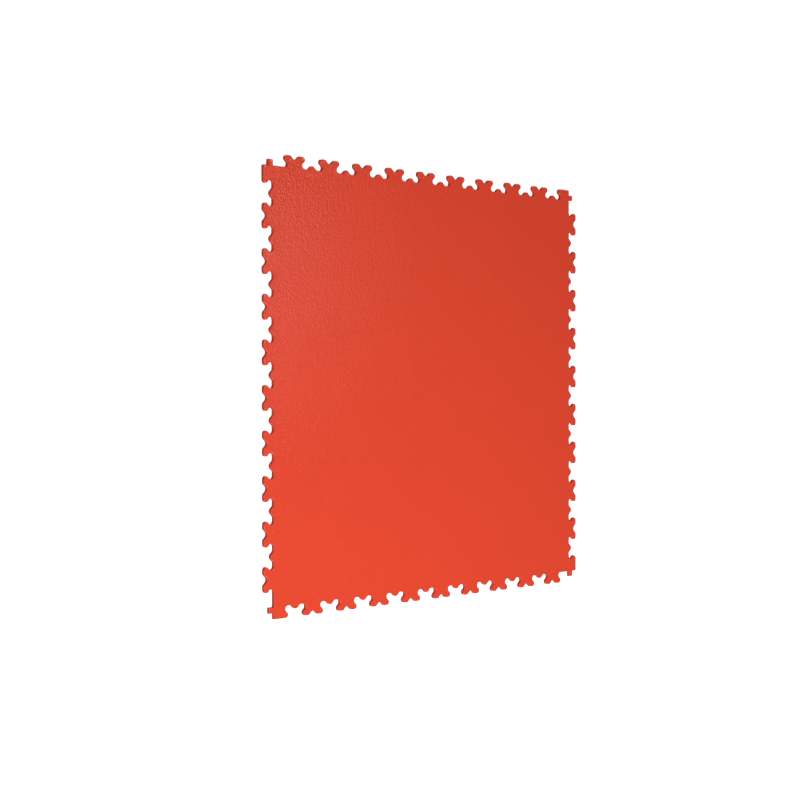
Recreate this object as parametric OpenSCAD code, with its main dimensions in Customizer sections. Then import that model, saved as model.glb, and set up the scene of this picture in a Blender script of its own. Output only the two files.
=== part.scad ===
// Interlocking PVC floor tile, moulded in one piece and lying flat with its walking face up.
// The origin is at the middle of the underside, +Z is up, and the sides face +Y, +X, -Y and -X.
// All four sides are the same side, a quarter turn apart. Along a side, the wave of tabs and sockets
// is its own mate: half a turn about any point where it crosses the joint line carries it onto itself.
// So any side of one tile locks into any side of the next, and four corners close around one point.

/* [Tile] */
// Side of the square that one laid tile covers, from joint line to joint line
tile_side = 500; // [400:10:700]
// Thickness from the floor to the walking face
thickness = 4; // [3:0.5:10]

/* [Interlock] */
// Number of tabs and sockets along each side
pitches = 10; // [6:1:12]
// Reach of a tab from the foot line to the tip line, half of it beyond the joint line
lock_depth = 13.5; // [13:0.5:18]
// Slope of a tab's flank where it crosses the joint line: less locks the tabs harder
flank_angle = 38; // [30:1:60]
// Radius of the lobes at a tab's tip, and of the hollows beside its foot
lobe_r = 3.5; // [1.5:0.1:3.7]
// Depth of the notch in a tab's tip, and height of the nub that fills it
notch_depth = 4.5; // [3:0.1:5.8]
// Width of the notch at its mouth, and of the nub at its root
notch_mouth = 12; // [10:0.5:16]
// Slope of the notch's and the nub's sides
notch_slope = 46; // [40:1:60]
// Radius of the lips of the notch, and of the hollows beside the nub's root
lip_r = 1.6; // [0.4:0.2:4]
// Radius of the square corners, at the pegs and the half tabs
corner_r = 0.5; // [0.3:0.1:1.5]
// Play between two tiles that are locked together
joint_gap = 0.3; // [0.1:0.05:0.5]

/* [Underside] */
// Width of the solid rim, from the feet of the tabs to the recess
rim_width = 15; // [10:1:40]
// Distance from one pad to the next
pad_pitch = 25; // [20:1:50]
// Width of the channels between the pads
channel_width = 6; // [3:0.5:10]
// Depth of the channels
channel_depth = 1; // [0.5:0.1:2]

/* [Hidden] */
// An arc gets one segment for each turn of about this angle
arc_step = 24;
// Extra depth of a cut past the surface that it opens
past = 1;

pitch = tile_side / pitches;
foot = -lock_depth / 2;
tip = lock_depth / 2;
// Half widths of a tab where the lines of its flanks would meet the foot line and the tip line
flank_run = lock_depth / 2 / tan(flank_angle);
neck_half = pitch / 4 - flank_run;
head_half = pitch / 4 + flank_run;
// Depth at which the notch's sides would meet, and the radius that rounds its bottom off at notch_depth
notch_apex = notch_mouth / 2 * tan(notch_slope);
notch_r = (notch_apex - notch_depth) / (1 / cos(notch_slope) - 1);
// Places along a side, which starts at a peg. The next side's peg cuts the last tab to a half.
first_tab = 3 / 4 * pitch;
peg_end = lock_depth / 2;
half_tab_end = tile_side - lock_depth / 2;

// A corner of the outline is [along, out, radius]: along the side clockwise, out from the joint line.
// The corners of a notch in the tip line, or of a nub on the foot line, which is a notch upside down
function notch(centre, level, rise) = [
    [centre - notch_mouth / 2, level, lip_r],
    [centre, level + rise, notch_r],
    [centre + notch_mouth / 2, level, lip_r]
];

// A flank that rises to a tab, and one that falls from it
function rising_flank(centre) = [
    [centre - neck_half, foot, lobe_r],
    [centre - head_half, tip, lobe_r]
];
function falling_flank(centre) = [
    [centre + head_half, tip, lobe_r],
    [centre + neck_half, foot, lobe_r]
];

// A whole tab with its notch, and the socket after it with its nub
function tab_and_socket(centre) = concat(
    rising_flank(centre),
    notch(centre, tip, -notch_apex),
    falling_flank(centre),
    notch(centre + pitch / 2, foot, notch_apex)
);

// The peg at the start of a side fills one quarter of the square that four tiles share
function peg() = [
    [0, 0, corner_r],
    [peg_end, 0, corner_r],
    [peg_end, foot, corner_r]
];

function half_tab(centre) = concat(
    rising_flank(centre),
    [[half_tab_end, tip, corner_r], [half_tab_end, 0, corner_r]]
);

function side() = concat(
    peg(),
    [for (k = [0:pitches - 2]) each tab_and_socket(first_tab + k * pitch)],
    half_tab(first_tab + (pitches - 1) * pitch)
);

// A side's corner in its place on the tile, turned clockwise from the +Y side
function placed(corner, turn) =
    let (x = corner[0] - tile_side / 2, y = tile_side / 2 + corner[1])
    [x * cos(turn) + y * sin(turn), y * cos(turn) - x * sin(turn), corner[2]];

function four_sides() = [for (turn = [0:90:270]) each [for (corner = side()) placed(corner, turn)]];

function xy(corner) = [corner[0], corner[1]];
function heading(from, to) = xy(to - from) / norm(xy(to - from));
function right_of(direction) = [direction[1], -direction[0]];
function is_outer(into, out_of) = cross(into, out_of) < 0;

// A corner drawn in by the same distance from both of its edges. Outer corners get tighter and inner
// ones wider by that distance, so that the play between two tiles is even all round.
function drawn_in(previous, corner, next, inset) =
    let (
        into = heading(previous, corner),
        out_of = heading(corner, next),
        moved = xy(corner) + (right_of(into) + right_of(out_of)) * inset / (1 + into * out_of)
    )
    [moved[0], moved[1], corner[2] + (is_outer(into, out_of) ? -inset : inset)];

// The points of the arc that rounds a corner
function rounded(previous, corner, next) =
    let (
        into = heading(previous, corner),
        out_of = heading(corner, next),
        turn = acos(into * out_of),
        hand = is_outer(into, out_of) ? 1 : -1,
        start = xy(corner) - into * corner[2] * tan(turn / 2),
        centre = start + right_of(into) * hand * corner[2],
        arm = start - centre,
        steps = ceil(turn / arc_step)
    )
    [for (i = [0:steps])
        let (angle = turn * i / steps)
        centre + arm * cos(angle) + right_of(arm) * hand * sin(angle)];

// Neighbours in a closed list
function previous_of(list, i) = list[(i + len(list) - 1) % len(list)];
function next_of(list, i) = list[(i + 1) % len(list)];

module interlocking_outline() {
    joint_line = four_sides();
    corners = [for (i = [0:len(joint_line) - 1])
        drawn_in(previous_of(joint_line, i), joint_line[i], next_of(joint_line, i), joint_gap / 2)];
    polygon([for (i = [0:len(corners) - 1])
        each rounded(previous_of(corners, i), corners[i], next_of(corners, i))]);
}

// The pads stand in a recess inside the rim, and the channels between them let air pass under the tile
pads = floor((tile_side - lock_depth - 2 * rim_width - channel_width) / pad_pitch);
recess_side = pads * pad_pitch + channel_width;

module channels() {
    difference() {
        square(recess_side, center = true);
        for (i = [0:pads - 1], j = [0:pads - 1]) {
            translate([i - (pads - 1) / 2, j - (pads - 1) / 2] * pad_pitch) {
                square(pad_pitch - channel_width, center = true);
            }
        }
    }
}

module floor_tile() {
    color("tomato") difference() {
        linear_extrude(thickness) interlocking_outline();
        translate([0, 0, -past]) linear_extrude(channel_depth + past) channels();
    }
}

floor_tile();
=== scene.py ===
"""An interlocking PVC floor tile, moulded in one piece and lying flat on a plain white floor."""
import math

import bmesh
import bpy
from mathutils import Matrix, Vector, noise


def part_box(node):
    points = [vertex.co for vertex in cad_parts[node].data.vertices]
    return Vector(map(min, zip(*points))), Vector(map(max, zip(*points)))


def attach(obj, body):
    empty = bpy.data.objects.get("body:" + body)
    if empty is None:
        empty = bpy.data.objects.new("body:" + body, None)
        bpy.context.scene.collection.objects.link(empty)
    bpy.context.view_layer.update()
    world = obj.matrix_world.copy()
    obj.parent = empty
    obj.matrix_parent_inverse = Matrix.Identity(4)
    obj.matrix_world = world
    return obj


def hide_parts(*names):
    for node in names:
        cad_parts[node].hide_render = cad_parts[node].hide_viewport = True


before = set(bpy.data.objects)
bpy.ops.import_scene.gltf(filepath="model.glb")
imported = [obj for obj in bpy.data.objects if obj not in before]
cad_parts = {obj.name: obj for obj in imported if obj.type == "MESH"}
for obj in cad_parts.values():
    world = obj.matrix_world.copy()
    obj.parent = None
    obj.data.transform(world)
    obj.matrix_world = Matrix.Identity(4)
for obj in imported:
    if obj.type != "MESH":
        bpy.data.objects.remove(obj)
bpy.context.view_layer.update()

MM = 0.001
NODE = "floor_tile"
TILE_LOW, TILE_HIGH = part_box(NODE)
FACE_HEIGHT = TILE_HIGH[2]

# The eye stands beyond the -X side and looks down on the tile, and +Y points up in the picture.
EYE = Vector((-1.2703, 0.0014, 1.3493))
AIM = Vector((-0.0558, -0.0160, 0.0040))
PICTURE_UP = Vector((0.0075, 0.9999, -0.0067))
FOCAL_LENGTH = 68.98
SENSOR = 36.0

# The floor's reach to each side, and its clearance under the tile
FLOOR_REACH = 14.0
FLOOR_CLEARANCE = 0.2 * MM
# How bright the floor's own glow and the surroundings are, for what they light and to the eye
FLOOR_GLOW = (0.0, 0.80)
SKY_GLOW = (0.10, 0.84)

# Points nearer than this are one point, and facets that turn less than this are one face.
TOUCH = 0.001 * MM
SAME_FACE = math.radians(0.2)
# Edges of the moulding: the rim of the walking face, the foot of the wall, and the underside's pads
RIM_RADIUS = 0.30 * MM
FOOT_RADIUS = 0.12 * MM
PAD_RADIUS = 0.25 * MM
# Where a wall's facets are wider than the first length, the corners between them are cut by the second
FACET_CUTS = ((1.00 * MM, 0.37 * MM), (0.40 * MM, 0.16 * MM), (0.08 * MM, 0.04 * MM))
GENTLE_TURN = math.radians(18)
CREASE = math.radians(60)
# The underside, with its channels, lies wholly below this height.
UNDERSIDE_TOP = 0.3 * FACE_HEIGHT

# Pebbled relief of the walking face: spacing of its points, how far they stray, pebble size and depth
RELIEF_STEP = 2.0 * MM
RELIEF_STRAY = 0.5 * MM
PEBBLE = 3.4 * MM
RELIEF_DEPTH = 0.20 * MM
# How far the pebbles and the hollows swing to each side of half the depth, before both are levelled off
RELIEF_SWING = 0.9
# How many times finer than the pebbles the points' straying varies, along X and along Y
STRAY_RATES = (7.3, 9.1)
# A cut of the net that passes a point this closely goes through it.
NET_TOUCH = 0.03 * MM

# The finishes, in the order of the moulding's material slots
WALKING_FACE, WALL, UNDERSIDE = range(3)
VINYL_RED = (0.740, 0.058, 0.024, 1.0)
VINYL_IOR = 1.53
FLOAT = "NodeSocketFloat"
VECTOR = "NodeSocketVector"
COLOUR = "NodeSocketColor"


# Camera, floor and light

def aim_camera():
    """A still camera at the viewing angle that shows the flat tile tall and narrow."""
    data = bpy.data.cameras.new("camera")
    data.lens = FOCAL_LENGTH
    data.sensor_width = SENSOR
    data.clip_start = 0.05
    data.clip_end = 50.0
    camera = bpy.data.objects.new("camera", data)
    forward = (AIM - EYE).normalized()
    right = forward.cross(PICTURE_UP).normalized()
    up = right.cross(forward)
    turn = Matrix((right, up, -forward)).transposed().to_4x4()
    camera.matrix_world = Matrix.Translation(EYE) @ turn
    bpy.context.scene.collection.objects.link(camera)
    bpy.context.scene.camera = camera


def seen_glow(tree, glow, strength):
    """Gives a glow one strength for what it lights and another to the eye."""
    rays = tree.nodes.new("ShaderNodeLightPath")
    seen = tree.nodes.new("ShaderNodeMapRange")
    seen.inputs["To Min"].default_value = strength[0]
    seen.inputs["To Max"].default_value = strength[1]
    tree.links.new(rays.outputs["Is Camera Ray"], seen.inputs["Value"])
    tree.links.new(seen.outputs["Result"], glow)


def floor_white():
    """Matt white that looks lit out to its edges, as a photographer's sweep does."""
    material = bpy.data.materials.new("floor_white")
    material.use_nodes = True
    shader = material.node_tree.nodes["Principled BSDF"]
    shader.inputs["Base Color"].default_value = (0.50, 0.50, 0.50, 1)
    shader.inputs["Roughness"].default_value = 0.9
    shader.inputs["Specular IOR Level"].default_value = 0.1
    shader.inputs["Emission Color"].default_value = (1, 1, 1, 1)
    seen_glow(material.node_tree, shader.inputs["Emission Strength"], FLOOR_GLOW)
    return material


def lay_floor():
    """A wide, even, white floor just under the tile's pads."""
    bm = bmesh.new()
    bmesh.ops.create_grid(bm, x_segments=1, y_segments=1, size=FLOOR_REACH)
    bmesh.ops.translate(bm, verts=bm.verts, vec=(0, 0, -FLOOR_CLEARANCE))
    mesh = bpy.data.meshes.new("white_floor")
    bm.to_mesh(mesh)
    bm.free()
    mesh.materials.append(floor_white())
    floor = bpy.data.objects.new("white_floor", mesh)
    bpy.context.scene.collection.objects.link(floor)


def soft_light(name, place, width, power, colour):
    """A square soft box that faces the tile."""
    data = bpy.data.lights.new(name, "AREA")
    data.shape = "SQUARE"
    data.size = width
    data.energy = power
    data.color = colour
    lamp = bpy.data.objects.new(name, data)
    lamp.location = place
    lamp.rotation_euler = (-Vector(place)).to_track_quat("-Z", "Y").to_euler()
    bpy.context.scene.collection.objects.link(lamp)


def light_studio():
    """Dim surroundings, a large key light, and a small cool one that gives the face its sheen."""
    world = bpy.data.worlds.new("studio")
    bpy.context.scene.world = world
    world.use_nodes = True
    background = world.node_tree.nodes["Background"]
    background.inputs["Color"].default_value = (1, 1, 1, 1)
    seen_glow(world.node_tree, background.inputs["Strength"], SKY_GLOW)
    soft_light("key", place=(-0.42, -0.88, 1.64), width=1.2, power=41.5, colour=(1.00, 0.99, 0.98))
    soft_light("window", place=(0.66, 0.27, 1.76), width=0.2, power=2.1, colour=(0.80, 0.91, 1.00))
    bpy.context.scene.view_settings.view_transform = "Standard"


# The moulding

def merged_skin():
    """The tile's skin as one closed mesh of flat faces."""
    bm = bmesh.new()
    bm.from_mesh(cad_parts[NODE].data)
    bmesh.ops.remove_doubles(bm, verts=bm.verts, dist=TOUCH)
    bmesh.ops.dissolve_limit(bm, angle_limit=SAME_FACE, verts=bm.verts, edges=bm.edges)
    return bm


def bevel(bm, edges, radius, segments):
    bmesh.ops.bevel(
        bm,
        geom=edges,
        offset=radius,
        offset_type="OFFSET",
        segments=segments,
        profile=0.5,
        affect="EDGES",
        material=-1,
        clamp_overlap=False,
    )


def is_upright(edge):
    """True for an edge that runs up the whole outer wall."""
    one, other = edge.verts
    return abs(one.co.z - other.co.z) > FACE_HEIGHT - TOUCH


def facet_width(edge):
    """Width of the narrower of the two wall facets that meet at an upright edge."""
    return min(face.calc_area() for face in edge.link_faces) / FACE_HEIGHT


def round_the_wall(bm):
    """Cuts the corners between the wall's facets, so that lobes, hollows and notches run rounder."""
    for width, cut in FACET_CUTS:
        corners = [
            edge
            for edge in bm.edges
            if is_upright(edge) and edge.calc_face_angle() > GENTLE_TURN and facet_width(edge) > width
        ]
        bevel(bm, corners, cut, 1)


def creases(bm, height):
    """Edges at one height where a level face meets an upright one."""
    return [
        edge
        for edge in bm.edges
        if all(abs(vert.co.z - height) < TOUCH for vert in edge.verts)
        and edge.calc_face_angle() > CREASE
    ]


def on_outer_wall(edge):
    return any(is_upright(side) for face in edge.link_faces for side in face.edges)


def soften_edges(bm):
    """Rounds the rim of the walking face, the foot of the wall and the pads of the underside."""
    bevel(bm, [edge for edge in creases(bm, 0) if not on_outer_wall(edge)], PAD_RADIUS, 1)
    bevel(bm, [edge for edge in creases(bm, 0) if on_outer_wall(edge)], FOOT_RADIUS, 1)
    bevel(bm, creases(bm, FACE_HEIGHT), RIM_RADIUS, 2)


def part_finishes(bm):
    """Gives the skin its finishes, but for the walking face, which gets its own with its relief."""
    for face in bm.faces:
        face.smooth = True
        low = max(vert.co.z for vert in face.verts) <= UNDERSIDE_TOP
        face.material_index = UNDERSIDE if low else WALL


def around(faces):
    """Faces with their edges and corners, each once and always in the same order."""
    edges = dict.fromkeys(edge for face in faces for edge in face.edges)
    verts = dict.fromkeys(vert for face in faces for vert in face.verts)
    return [*faces, *edges, *verts]


def cut_in_strips(bm, faces, axis):
    """Cuts level faces square to an axis, one step of the relief apart, and returns them all."""
    across = Vector((axis == 0, axis == 1, 0))
    done = []
    for k in range(1, round((TILE_HIGH[axis] - TILE_LOW[axis]) / RELIEF_STEP)):
        place = TILE_LOW[axis] + k * RELIEF_STEP
        cut = bmesh.ops.bisect_plane(
            bm, geom=around(faces), dist=NET_TOUCH, plane_co=across * place, plane_no=across
        )
        parts = [part for part in cut["geom"] if isinstance(part, bmesh.types.BMFace)]
        faces = [face for face in parts if face.calc_center_median()[axis] > place]
        done += [face for face in parts if face.calc_center_median()[axis] <= place]
    return done + faces


def relief(place):
    """Depth of the face below its highest points, from 0 to 1."""
    return min(1.0, max(0.0, 0.5 + RELIEF_SWING * noise.noise(place / PEBBLE)))


def stray(place):
    """A step to one side, so that the net's points don't stand in rows."""
    along_x, along_y = STRAY_RATES
    return Vector((
        noise.noise(place * along_x / PEBBLE),
        noise.noise(place.yxz * along_y / PEBBLE),
        0.0,
    ))


def faces_up(face):
    return face.normal.z > 0.99


def press_relief(bm):
    """Cuts the walking face into a fine net inside its rim, and gives the net a shallow unevenness."""
    top = max(bm.faces, key=lambda face: len(face.verts) * faces_up(face))
    rim = set(top.verts)
    parts = cut_in_strips(bm, cut_in_strips(bm, [top], 0), 1)
    for part in parts:
        part.material_index = WALKING_FACE
    inside = {
        vert
        for part in parts
        for vert in part.verts
        if vert not in rim and all(faces_up(near) for near in vert.link_faces)
    }
    for vert in inside:
        vert.co += RELIEF_STRAY * stray(vert.co)
        vert.co.z = FACE_HEIGHT - RELIEF_DEPTH * relief(vert.co)


def floor_tile():
    """The whole tile, in the place of the plain solid."""
    bm = merged_skin()
    round_the_wall(bm)
    soften_edges(bm)
    part_finishes(bm)
    press_relief(bm)
    mesh = bpy.data.meshes.new("tile_moulding")
    bm.to_mesh(mesh)
    bm.free()
    for material in finishes():
        mesh.materials.append(material)
    tile = bpy.data.objects.new("tile_moulding", mesh)
    bpy.context.scene.collection.objects.link(tile)
    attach(tile, "root")
    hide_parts(NODE)


# Finishes

def add(tree, kind, values=None, **settings):
    """A node with its settings, and the values of its inputs."""
    made = tree.nodes.new(kind)
    for name, setting in settings.items():
        setattr(made, name, setting)
    for name, value in (values or {}).items():
        made.inputs[name].default_value = value
    return made


def new_group(name, inputs, outputs):
    """An empty node group with its inputs and outputs, and its two end nodes."""
    tree = bpy.data.node_groups.new(name, "ShaderNodeTree")
    for label, kind in inputs.items():
        tree.interface.new_socket(label, in_out="INPUT", socket_type=kind)
    for label, kind in outputs.items():
        tree.interface.new_socket(label, in_out="OUTPUT", socket_type=kind)
    return tree, tree.nodes.new("NodeGroupInput"), tree.nodes.new("NodeGroupOutput")


def grain_group():
    """Rounded pebbles with a finer roughness on them, as the mould's etched steel leaves on the vinyl."""
    tree, given, result = new_group(
        "moulded_grain",
        {"Vector": VECTOR, "Pebble Scale": FLOAT, "Fine Scale": FLOAT, "Fine Share": FLOAT},
        {"Height": FLOAT, "Hollows": FLOAT},
    )
    link = tree.links.new
    pebbles = add(tree, "ShaderNodeTexVoronoi", feature="F1")
    link(given.outputs["Vector"], pebbles.inputs["Vector"])
    link(given.outputs["Pebble Scale"], pebbles.inputs["Scale"])
    domes = add(
        tree,
        "ShaderNodeMapRange",
        {"From Min": 0.05, "From Max": 0.75, "To Min": 1.0, "To Max": 0.0},
        interpolation_type="SMOOTHSTEP",
    )
    link(pebbles.outputs["Distance"], domes.inputs["Value"])
    fine = add(tree, "ShaderNodeTexNoise", {"Detail": 2.0, "Roughness": 0.55})
    link(given.outputs["Vector"], fine.inputs["Vector"])
    link(given.outputs["Fine Scale"], fine.inputs["Scale"])
    added = add(tree, "ShaderNodeMath", operation="MULTIPLY_ADD")
    link(fine.outputs["Fac"], added.inputs[0])
    link(given.outputs["Fine Share"], added.inputs[1])
    link(domes.outputs["Result"], added.inputs[2])
    link(added.outputs["Value"], result.inputs["Height"])
    hollows = add(tree, "ShaderNodeMath", operation="SUBTRACT")
    hollows.inputs[0].default_value = 1.0
    link(domes.outputs["Result"], hollows.inputs[1])
    link(hollows.outputs["Value"], result.inputs["Hollows"])
    return tree


def pigment_group():
    """Slight clouds in the colour and the gloss, from a pigment that is never mixed quite evenly."""
    tree, given, result = new_group(
        "clouded_pigment",
        {"Vector": VECTOR, "Color": COLOUR, "Cloud Scale": FLOAT, "Cloud Depth": FLOAT,
         "Roughness": FLOAT, "Roughness Spread": FLOAT, "Hollows": FLOAT},
        {"Color": COLOUR, "Roughness": FLOAT},
    )
    link = tree.links.new
    clouds = add(tree, "ShaderNodeTexNoise", {"Detail": 3.0, "Roughness": 0.5})
    link(given.outputs["Vector"], clouds.inputs["Vector"])
    link(given.outputs["Cloud Scale"], clouds.inputs["Scale"])
    centred = add(tree, "ShaderNodeMath", operation="SUBTRACT")
    link(clouds.outputs["Fac"], centred.inputs[0])
    centred.inputs[1].default_value = 0.5
    brightness = add(tree, "ShaderNodeMath", operation="MULTIPLY_ADD")
    link(centred.outputs["Value"], brightness.inputs[0])
    link(given.outputs["Cloud Depth"], brightness.inputs[1])
    brightness.inputs[2].default_value = 1.0
    tinted = add(tree, "ShaderNodeHueSaturation")
    link(given.outputs["Color"], tinted.inputs["Color"])
    link(brightness.outputs["Value"], tinted.inputs["Value"])
    link(tinted.outputs["Color"], result.inputs["Color"])
    uneven = add(tree, "ShaderNodeMath", operation="ADD")
    link(centred.outputs["Value"], uneven.inputs[0])
    link(given.outputs["Hollows"], uneven.inputs[1])
    gloss = add(tree, "ShaderNodeMath", operation="MULTIPLY_ADD")
    link(uneven.outputs["Value"], gloss.inputs[0])
    link(given.outputs["Roughness Spread"], gloss.inputs[1])
    link(given.outputs["Roughness"], gloss.inputs[2])
    link(gloss.outputs["Value"], result.inputs["Roughness"])
    return tree


def vinyl(name, grain, pigment, grain_depth):
    """Red vinyl: one plastic, with the grain and the clouds that its values give it."""
    material = bpy.data.materials.new(name)
    material.use_nodes = True
    tree = material.node_tree
    link = tree.links.new
    shader = tree.nodes["Principled BSDF"]
    shader.inputs["IOR"].default_value = VINYL_IOR
    place = add(tree, "ShaderNodeTexCoord")
    grained = add(tree, "ShaderNodeGroup", grain, node_tree=bpy.data.node_groups["moulded_grain"])
    clouded = add(tree, "ShaderNodeGroup", pigment, node_tree=bpy.data.node_groups["clouded_pigment"])
    bump = add(tree, "ShaderNodeBump", {"Strength": 1.0, "Distance": grain_depth})
    link(place.outputs["Object"], grained.inputs["Vector"])
    link(place.outputs["Object"], clouded.inputs["Vector"])
    link(grained.outputs["Hollows"], clouded.inputs["Hollows"])
    link(grained.outputs["Height"], bump.inputs["Height"])
    link(bump.outputs["Normal"], shader.inputs["Normal"])
    link(clouded.outputs["Color"], shader.inputs["Base Color"])
    link(clouded.outputs["Roughness"], shader.inputs["Roughness"])
    return material


def finishes():
    """The walking face, the smooth wall and the plainer underside."""
    grain_group()
    pigment_group()
    face = vinyl(
        "walking_face",
        {"Pebble Scale": 380.0, "Fine Scale": 1400.0, "Fine Share": 0.45},
        {"Color": VINYL_RED, "Cloud Scale": 16.0, "Cloud Depth": 0.05,
         "Roughness": 0.16, "Roughness Spread": 0.06},
        grain_depth=0.155 * MM,
    )
    wall = vinyl(
        "moulded_wall",
        {"Pebble Scale": 1500.0, "Fine Scale": 5200.0, "Fine Share": 0.60},
        {"Color": VINYL_RED, "Cloud Scale": 40.0, "Cloud Depth": 0.06,
         "Roughness": 0.38, "Roughness Spread": 0.06},
        grain_depth=0.015 * MM,
    )
    underside = vinyl(
        "matt_underside",
        {"Pebble Scale": 1900.0, "Fine Scale": 6000.0, "Fine Share": 1.00},
        {"Color": VINYL_RED, "Cloud Scale": 30.0, "Cloud Depth": 0.10,
         "Roughness": 0.60, "Roughness Spread": 0.08},
        grain_depth=0.020 * MM,
    )
    return face, wall, underside


aim_camera()
lay_floor()
light_studio()
floor_tile()
